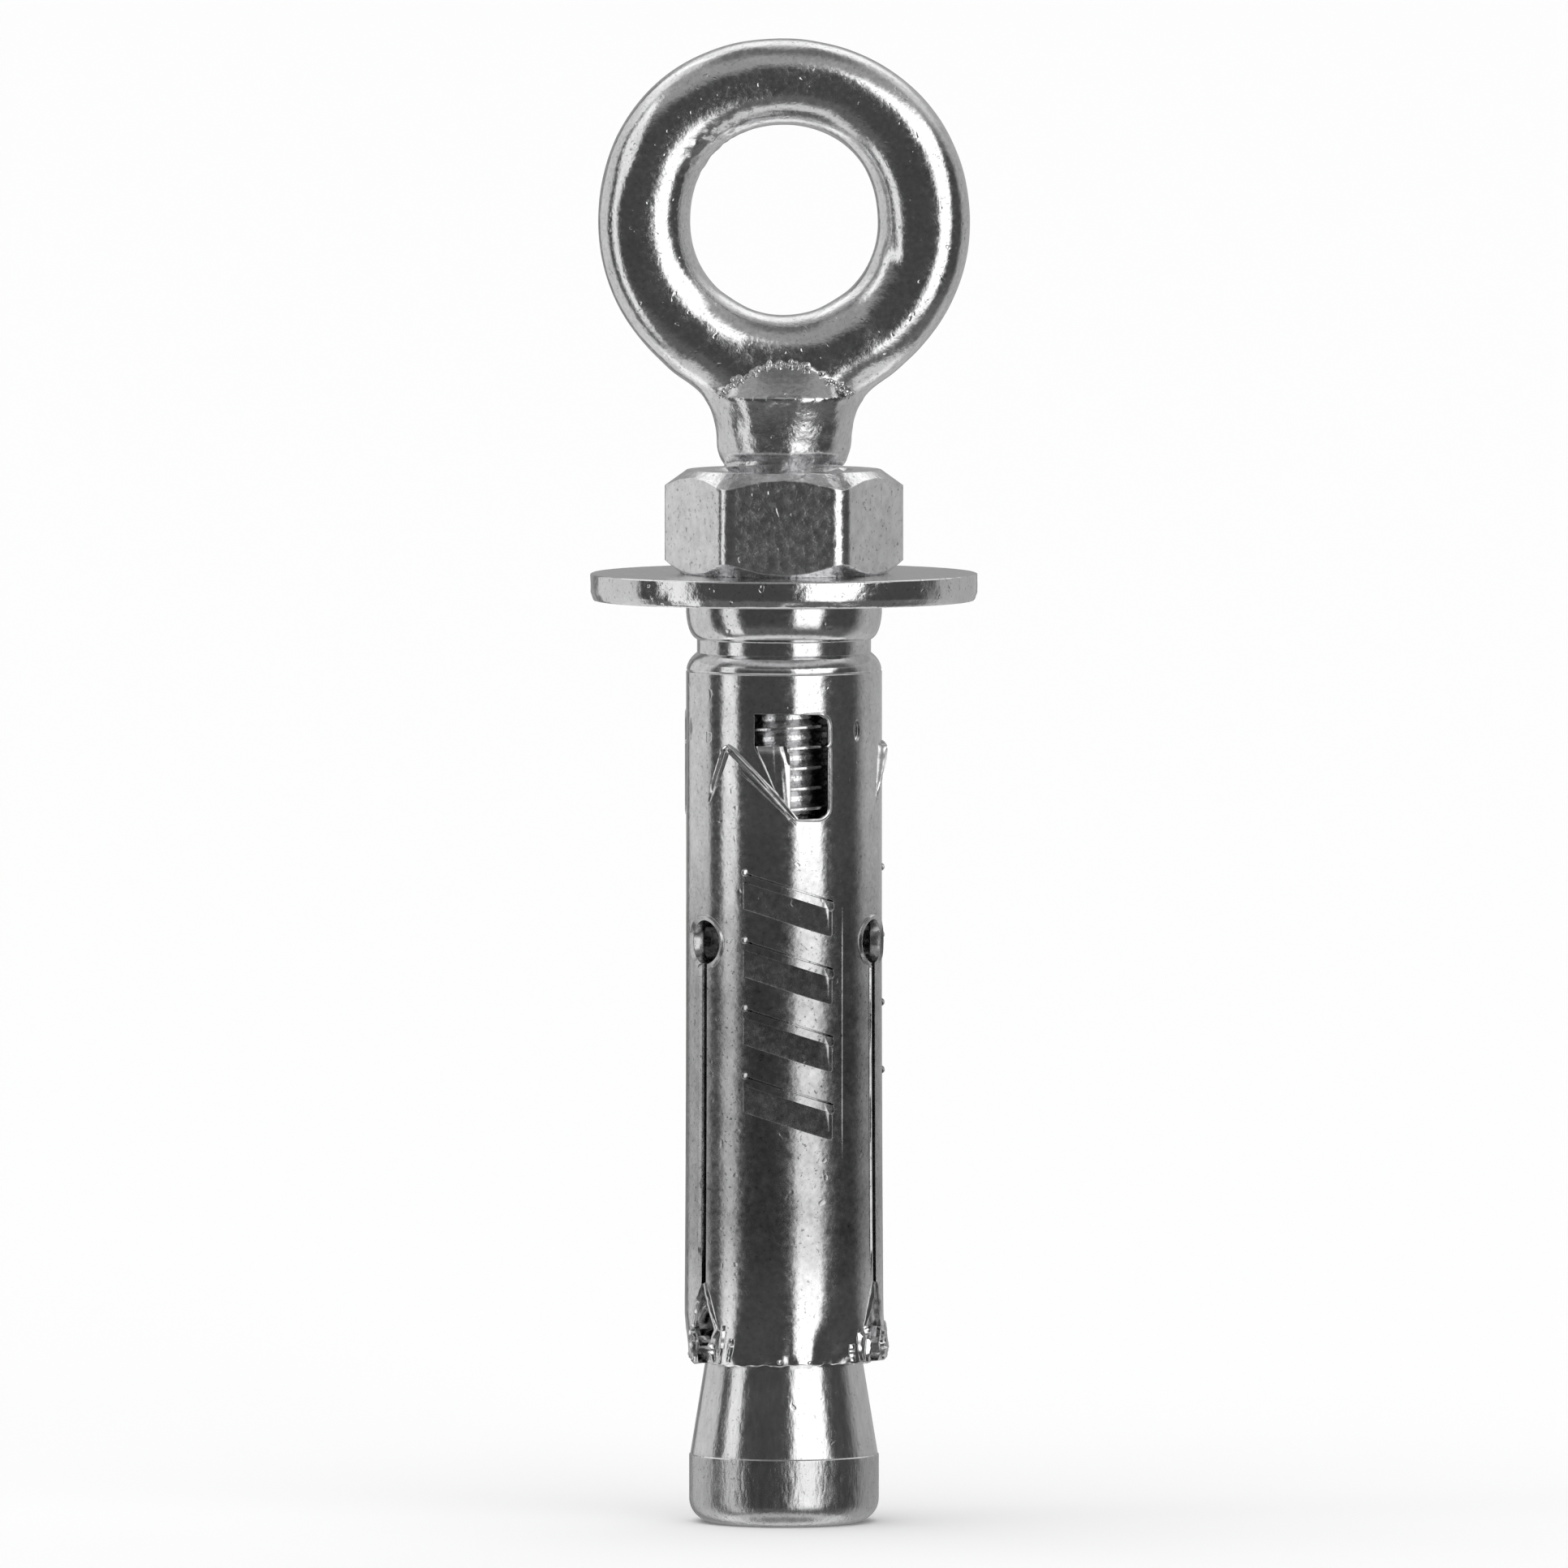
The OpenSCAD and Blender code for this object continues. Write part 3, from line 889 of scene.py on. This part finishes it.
sleeveSet = {
    "outer": 6.0,
    "bore": 4.3,
    "mouth": 4.88,
    "mouthRise": 3.65,
    "collar": 0.75,
    "collarCurve": 1.65,
    "waist": 5.33,
    "waistHeight": 0.8,
    "shoulder": 1.05,
    "slit": {
        "turn": -54, "width": 0.45, "hole": 1.35, "holeHeight": 35.8,
        "lip": (0.1, 0.06, 0.16), "holeLip": (0.17, 0.15, 0.5), "lipFoot": 15.2,
        "notchTop": 14.6, "notchFoot": 11.3, "notchHalf": 1.0,
    },
    "window": {
        "foot": 43.4, "top": 49.9, "left": -2.4, "right": 2.25, "bend": 0.8, "slot": 2.0,
        "flapRight": -0.35, "flapDepth": (0.1, 0.9), "flapThick": 0.5, "lip": 0.13,
    },
    "groove": {
        "count": 4, "left": -3.05, "right": 2.2, "end": 0.3, "top": 40.2, "tall": 2.25,
        "pitch": 4.15, "slope": 17.8, "floor": 5.18, "floorTurn": -7, "step": 0.6,
        "stepDepth": 0.12, "shear": 0.13, "shearDepth": 0.5,
    },
    "dimple": {
        "turn": 42, "height": 48.8, "depth": 0.2, "wide": 0.3, "tall": 0.7,
    },
    "fin": {
        "proud": 0.36, "width": 0.44, "apex": (-3.95, 47.9), "longFoot": (0.25, 43.3),
        "shortFoot": (-5.05, 44.2), "cutFrom": 0.46, "cutWide": 0.14, "cutDeep": 0.9,
    },
    "foot": {
        "open": 0.12, "dentHeight": 13.2, "dent": (-0.4, -32, 15), "flare": (0.2, 22, 14),
        "ragged": 0.11, "raggedHeight": 1.1,
    },
    # scraps of metal round the foot of a slit: start, end and how proud they stand
    "claws": [
        ((-0.15, 14.9), (-1.2, 12.2), 0.16),
        ((0.15, 14.9), (1.25, 12.0), 0.16),
        ((-1.25, 12.3), (-0.7, 11.2), 0.2),
        ((1.3, 12.1), (0.75, 11.0), 0.2),
        ((-0.85, 11.5), (-1.0, 10.05), 0.24),
        ((0.8, 11.3), (1.05, 10.05), 0.26),
        ((1.75, 12.4), (1.6, 10.1), 0.2),
        ((-1.7, 11.9), (-1.45, 10.1), 0.18),
        ((2.35, 11.6), (2.2, 10.15), 0.13),
        ((-2.2, 11.2), (-2.1, 10.1), 0.12),
    ],
    "look": {
        "tone": 0.75, "cloud": 0.38, "mottle": 0.42, "speck": 0.24, "rough": 0.14,
        "roughMottle": 0.16, "bump": 0.0065, "waves": 0.012, "edge": 0.03,
        "mottleSize": 0.36, "pit": 0.008, "pitSize": 0.7, "grain": 0.06,
        "dull": (38, 7, 0.31, 0.09, 0.005), "bright": (12, 19),
        "cloudSize": 1.8, "speckSize": 0.2,
    },
}


def sleeveWall():
    s = sleeveSet
    outer, bore, waist, mouth = s["outer"], s["bore"], s["waist"], s["mouth"]
    top = washerFoot
    waistTop = top - s["collar"] - s["collarCurve"]
    waistFoot = waistTop - s["waistHeight"]
    shoulder = waistFoot - s["shoulder"]
    mouthTop = sleeveFoot + s["mouthRise"]
    profile = [(mouth, sleeveFoot), (outer - 0.08, sleeveFoot), (outer, sleeveFoot + 0.08)]
    profile += spaced((outer, sleeveFoot + 0.08), (outer, sleeveFoot + 1), 5)
    profile += spaced((outer, sleeveFoot + 1), (outer, shoulder - 0.12), 44)
    profile += [(outer, shoulder - 0.12), (outer - 0.07, shoulder - 0.04)]
    bend = (outer - 0.1, shoulder + 0.62)
    profile += pulled((outer - 0.03, shoulder + 0.04), bend, (waist, waistFoot), 10)
    profile += [(waist, waistFoot + 0.05)]
    profile += spaced((waist, waistFoot + 0.05), (waist, waistTop), 4)
    profile += pulled((waist, waistTop), (outer - 0.1, waistTop + 0.25), (outer, top - s["collar"]), 10)
    profile += spaced((outer, top - s["collar"]), (outer, top - 0.2), 4)
    profile += arc((outer - 0.2, top - 0.2), 0.2, 0, 90, 5)
    profile += [(bore + 0.2, top), (bore, top - 0.2)]
    profile += spaced((bore, top - 0.2), (bore, mouthTop), 14)
    profile += [(bore, mouthTop)]
    profile += spaced((bore, mouthTop), (mouth, sleeveFoot), 4)
    return turned("sleeve", profile, 360)


def wallSpot(x, z, proud=0.0):
    # a spot on the front of the sleeve's wall, or proud of it
    outer = sleeveSet["outer"]
    share = (outer + proud) / outer
    return Vector((x * share, -math.sqrt(outer**2 - x**2) * share, z))


def swept(name, path, section, turn):
    # section gives (side, proud) points for a share of the way along the path
    spots = [wallSpot(x, z) for x, z in path]
    last = len(spots) - 1
    points = []
    for i, spot in enumerate(spots):
        ahead = spots[min(i + 1, last)] - spots[max(i - 1, 0)]
        out = Vector((spot.x, spot.y, 0)).normalized()
        side = ahead.cross(out).normalized()
        outline = section(i / last)
        points += [spot + side * across + out * proud for across, proud in outline]
    count = len(outline)
    faces = ringFaces(last + 1, count)
    faces += [list(range(count - 1, -1, -1)), list(range(last * count, (last + 1) * count))]
    piece = addPiece(name, points, faces, 40)
    piece.data.transform(spin(turn))
    return piece


def stretch(start, end, steps):
    return [start, *spaced(start, end, steps), end]


def bead(radius, sink=0.35):
    # a round section, partly sunk in the wall and thinner at both ends
    def section(share):
        r = radius * min(1, 0.25 + 6 * share, 0.25 + 6 * (1 - share))
        angles = [2 * math.pi * k / 8 for k in range(8)]
        return [(r * math.cos(a), r * (math.sin(a) - sink)) for a in angles]

    return section


def windowOutline():
    w = sleeveSet["window"]
    left, right, bend = w["left"], w["right"], w["bend"]
    foot, top, slot = w["foot"], w["top"], w["top"] - w["slot"]
    outline = [(left, top), (left, slot), (w["flapRight"], foot)]
    outline += arc((right - bend, foot + bend), bend, -90, 0, 10)
    outline += [(right, slot - 0.15), (right - 0.14, slot), (right, slot + 0.15)]
    outline += arc((right - bend, top - bend), bend, 0, 90, 10)
    return outline


def windowLip(turn):
    w = sleeveSet["window"]
    outline = windowOutline()[2:]
    path = []
    for a, b in zip(outline, outline[1:]):
        steps = max(1, round(math.dist(a, b) / 0.25))
        path += [a, *spaced(a, b, steps)]
    path += stretch(outline[-1], (0.6, w["top"]), 4)
    return swept("windowLip", path, bead(w["lip"]), turn)


def windowFlap(turn):
    # the three-cornered flap that is pushed in, with folds that run down it
    w = sleeveSet["window"]
    slot, foot = w["top"] - w["slot"], w["foot"]
    columns, rows = 26, 18
    points = []
    for back in (0, 1):
        for i in range(rows + 1):
            z = slot + (foot - slot) * i / rows
            start = w["left"] + (w["flapRight"] - w["left"]) * i / rows - 0.05
            end = w["flapRight"] + 0.12
            for j in range(columns + 1):
                x = start + (end - start) * j / columns
                near = (x - start) / (w["flapRight"] - w["left"])
                fold = 0.014 * math.sin(x * 7.4 + 0.6) + 0.006 * math.sin(x * 15 + z)
                roll = 0.16 * math.exp(-(((z - slot) / 0.35) ** 2))
                lean, bend = w["flapDepth"]
                depth = 0.3 + lean * near + bend * near**14 - fold * min(1, near * 3) + roll
                points.append(wallSpot(x, z, -depth - back * w["flapThick"]))
    width = columns + 1
    layer = width * (rows + 1)
    faces = []
    for i in range(rows):
        for j in range(columns):
            a = i * width + j
            faces.append((a, a + width, a + width + 1, a + 1))
            faces.append((layer + a, layer + a + 1, layer + a + width + 1, layer + a + width))
    rim = list(range(width))
    rim += [i * width + columns for i in range(1, rows + 1)]
    rim += [rows * width + j for j in range(columns - 1, -1, -1)]
    rim += [i * width for i in range(rows - 1, 0, -1)]
    for k, a in enumerate(rim):
        b = rim[(k + 1) % len(rim)]
        faces.append((a, b, layer + b, layer + a))
    piece = addPiece("flap", points, faces, 50)
    piece.data.transform(spin(turn))
    return piece


def makeFin(foot, lean, turn):
    # a lance of metal, cut on both sides and pushed out of the wall, highest at the apex
    fin = sleeveSet["fin"]
    proud, width = fin["proud"], fin["width"]

    def section(share):
        fade = min(1, 12 * share + 0.4, (1 - share) * 3)
        high = proud * (1 - 0.75 * share) * fade
        high *= 1 + 0.22 * noise.noise(Vector((share * 9, lean, turn)))
        half = width / 2 * (0.55 + 0.45 * fade)
        tip = lean * half * 0.5
        return [
            (-half, -0.3), (-half, 0.3 * high), (-half * 0.75, high * 0.8), (-half * 0.5, high * 0.75),
            (tip - half * 0.25, high * 0.12), (tip + half * 0.1, high * 0.08), (half * 0.45, high * 0.95),
            (half * 0.75, high), (half, high * 0.5), (half, -0.3),
        ]

    return swept("fin", stretch(fin["apex"], foot, 30), section, turn)


def finCut(foot, side, turn):
    # the thin line that the shears leave beside a fin
    fin = sleeveSet["fin"]
    ax, az = fin["apex"]
    bx, bz = foot
    length = math.dist((ax, az), foot)
    nx, nz = (bz - az) / length * side, -(bx - ax) / length * side
    near = fin["width"] * fin["cutFrom"]
    far = near + fin["cutWide"]
    outline = [
        (ax + nx * near, az + nz * near - 0.5),
        (bx + nx * near, bz + nz * near),
        (bx + nx * near + 0.02, bz + nz * far),
        (ax + nx * far, az + nz * far - 0.5),
    ]
    return prism("finCut", outline, sleeveSet["outer"] - fin["cutDeep"], 9, turn)


def grooveCutter(index, start, end, floorAt, turn):
    g = sleeveSet["groove"]
    fall = math.tan(math.radians(g["slope"]))
    top = g["top"] - index * g["pitch"]
    half = (end - start) / 2
    points = []
    stations = [(g["left"] + (g["right"] - g["left"]) * i / 16, 1.0) for i in range(17)]
    for i in range(1, 6):
        share = i / 5.2
        stations.append((g["right"] + g["end"] * share, math.sqrt(1 - share**2)))
    for x, tall in stations:
        middle = top - (x - g["left"]) * fall - start - half
        depth = floorAt(x)
        for y, side in ((depth, 1), (depth, -1), (9, -1), (9, 1)):
            points.append((x, -y, middle + side * half * tall))
    faces = []
    for i in range(len(stations) - 1):
        for k in range(4):
            b = (k + 1) % 4
            faces.append((i * 4 + k, i * 4 + b, i * 4 + 4 + b, i * 4 + 4 + k))
    last = len(stations) * 4 - 4
    faces += [(3, 2, 1, 0), (last, last + 1, last + 2, last + 3)]
    piece = addPiece("groove", points, faces)
    faceOut(piece)
    piece.data.transform(spin(turn))
    return piece


def roundFloor(depth):
    # a cutter's floor that follows the wall, this deep under its surface
    return lambda x: math.sqrt((sleeveSet["outer"] - depth) ** 2 - x**2)


def grooveFloor(x):
    g = sleeveSet["groove"]
    turn = math.radians(g["floorTurn"])
    return (g["floor"] - x * math.sin(turn)) / math.cos(turn)


def slitOutline():
    slit = sleeveSet["slit"]
    half, hole, middle = slit["width"] / 2, slit["hole"], slit["holeHeight"]
    join = middle - math.sqrt(hole**2 - half**2)
    angle = math.degrees(math.asin(half / hole))
    outline = [(-half, join)]
    outline += arc((0, middle), hole, 270 - angle, -90 + angle, 40)[1:-1]
    return outline + [(half, join), (half, sleeveFoot - 1), (-half, sleeveFoot - 1)]


def slitLip(turn):
    # the punch leaves a raised edge and a slope along the slit's left side and round its hole
    slit = sleeveSet["slit"]
    outline = slitOutline()[:-2]
    path = stretch((outline[0][0], slit["lipFoot"]), outline[0], 20) + outline[1:]
    join = 21 / len(path)

    def section(share):
        fade = min(1, share * 30, (1 - share) * 12)
        rise, wide, deep = slit["holeLip" if share > join else "lip"]
        rise *= fade * (1 + 0.25 * noise.noise(Vector((share * 40, turn, 2))))
        wide *= fade
        edge = [(-0.36, -0.1), (-0.35, 0), (-0.27, rise), (0, 0)]
        return edge + [(wide, -deep), (wide, -0.6), (-0.3, -0.6)]

    return swept("slitLip", path, section, turn)


def notchOutline():
    slit = sleeveSet["slit"]
    half, foot = slit["notchHalf"], slit["notchFoot"]
    return [
        (0, slit["notchTop"]), (-half * 0.55, foot + 1.9), (-half, foot + 0.7),
        (-0.6, foot + 0.3), (-0.42, foot - 0.3), (-0.75, foot - 0.7), (-0.4, sleeveFoot - 0.1),
        (0.35, sleeveFoot - 0.1), (0.7, foot - 0.8), (0.45, foot - 0.2),
        (0.75, foot + 0.2), (half, foot + 0.8), (half * 0.6, foot + 2.0),
    ]


def dimple(turn):
    mark = sleeveSet["dimple"]
    wide, tall, middle = mark["wide"], mark["tall"], mark["height"]
    outline = []
    for k in range(20):
        a = 2 * math.pi * k / 20
        x = 0.7 * wide * math.cos(a) + 0.3 * wide * math.cos(a) ** 3
        outline.append((x, middle + tall * math.sin(a)))
    return prism("dimple", outline, sleeveSet["outer"] - mark["depth"], 9, turn + mark["turn"])


def clawed(turn):
    pieces = []
    for k, (start, end, high) in enumerate(sleeveSet["claws"]):

        def section(share, high=high, k=k):
            bulge = math.sin(math.pi * min(1, 0.12 + share)) ** 0.6 if share < 0.88 else 0.4
            lift = high * bulge * (1.1 + 0.9 * noise.noise(Vector((share * 8, k, turn))))
            half = 0.14 + 0.1 * bulge
            return [
                (-half, -0.25), (-half * 0.9, lift * 0.3), (-half * 0.3, lift), (half * 0.25, lift * 0.9),
                (half, lift * 0.2), (half, -0.25),
            ]

        pieces.append(swept("claw", stretch(start, end, 12), section, turn))
    return pieces


def speckles(turn):
    # small bright dots: one at the upper corner of each groove, two at the mouth
    g = sleeveSet["groove"]
    spots = [(g["left"] + 0.12, g["top"] - i * g["pitch"] - 0.02, 0.24) for i in range(g["count"])]
    spots += [(-0.9, sleeveFoot + 0.32, 0.16), (0.95, sleeveFoot + 0.24, 0.15)]
    pieces = []
    for x, z, radius in spots:
        bm = bmesh.new()
        bmesh.ops.create_icosphere(bm, subdivisions=3, radius=radius)
        bm.transform(Matrix.Diagonal((1, 0.4, 1, 1)))
        bm.transform(Matrix.Rotation(math.radians(12), 4, "Z"))
        bm.transform(Matrix.Translation(wallSpot(x, z, 0.02)))
        bm.transform(spin(turn))
        pieces.append(fromBmesh("speckle", bm))
    return pieces


def pressFoot(piece):
    # the mouth is squeezed in on one side of each slit and flares out on the other
    slit, foot = sleeveSet["slit"], sleeveSet["foot"]
    for vertex in piece.data.vertices:
        point = vertex.co
        if point.z > slit["holeHeight"]:
            continue
        spread = foot["open"] * ((slit["holeHeight"] - point.z) / 25) ** 2
        low = max(0, min(1, (foot["dentHeight"] - point.z) / 2.6)) ** 2
        angle = math.degrees(math.atan2(point.x, -point.y))
        away = (angle - slit["turn"] + 60) % 120 - 60
        bend = 0
        for size, middle, width in (foot["dent"], foot["flare"]):
            bend += size * math.exp(-(((away - middle) / width) ** 2))
        ragged = max(0, 1 - (point.z - sleeveFoot) / foot["raggedHeight"])
        ragged *= foot["ragged"] * noise.noise(Vector((point.x, point.y, point.z * 0.7)) * 1.5)
        point.z += max(0, 0.4 - point.z + sleeveFoot) * (0.3 + noise.noise(point * 1.4)) * 0.5
        share = 1 + (spread + bend * low + ragged) / point.xy.length
        point.x *= share
        point.y *= share


def wallNormals(piece):
    # the cut wall keeps the smooth shading of a true cylinder
    mesh = piece.data
    normals = np.zeros(len(mesh.loops) * 3)
    mesh.corner_normals.foreach_get("vector", normals)
    normals = normals.reshape(-1, 3)
    points = np.zeros(len(mesh.vertices) * 3)
    mesh.vertices.foreach_get("co", points)
    points = points.reshape(-1, 3)
    flat = np.hypot(points[:, 0], points[:, 1])
    aboveDent = points[:, 2] > sleeveSet["foot"]["dentHeight"] + 0.1
    onWall = (np.abs(flat - sleeveSet["outer"]) < 0.004) & aboveDent
    for polygon in mesh.polygons:
        if abs(polygon.normal.z) < 0.02 and all(onWall[v] for v in polygon.vertices):
            for loop in polygon.loop_indices:
                x, y, _ = points[mesh.loops[loop].vertex_index]
                normals[loop] = Vector((x, y, 0)).normalized()
    mesh.normals_split_custom_set(normals.tolist())


def makeSleeve():
    piece = sleeveWall()
    fingers = [fingerTurn + 120 * k for k in range(3)]
    slits = [sleeveSet["slit"]["turn"] + 120 * k for k in range(3)]
    g, fin = sleeveSet["groove"], sleeveSet["fin"]
    indexes = range(g["count"])
    for low, high, floorAt in (
        (0, g["step"] + 0.1, roundFloor(g["stepDepth"])),
        (g["shear"] * -0.2, g["shear"] * 0.8, roundFloor(g["shearDepth"])),
        (g["step"], g["tall"], grooveFloor),
    ):
        carve(piece, [grooveCutter(i, low, high, floorAt, t) for t in fingers for i in indexes])
    carve(piece, [prism("window", windowOutline(), 3, 9, t) for t in fingers])
    carve(piece, [prism("slit", slitOutline(), 3, 9, t) for t in slits])
    carve(piece, [prism("notch", notchOutline(), 3, 9, t) for t in slits])
    carve(piece, [dimple(t) for t in fingers])
    carve(piece, [finCut(fin["longFoot"], 1, t) for t in fingers])
    carve(piece, [finCut(fin["shortFoot"], -1, t) for t in fingers])
    parts = [piece]
    for turn in fingers:
        parts += [windowLip(turn), windowFlap(turn)]
        parts += [makeFin(fin["longFoot"], 1, turn), makeFin(fin["shortFoot"], -1, turn)]
        parts.append(swept("seam", stretch((3.03, 38.0), (3.0, 22.6), 8), bead(0.05, 0.4), turn))
        parts += speckles(turn)
    for turn in slits:
        parts.append(slitLip(turn))
        parts += clawed(turn)
    piece = joined("sleeve", parts)
    finishShading(piece, 32)
    wallNormals(piece)
    pressFoot(piece)
    seat(piece, "sleeve_set", "sleeve", zincFinish("sleeveZinc", sleeveSet["look"]))


makeSleeve()

bpy.context.view_layer.update()
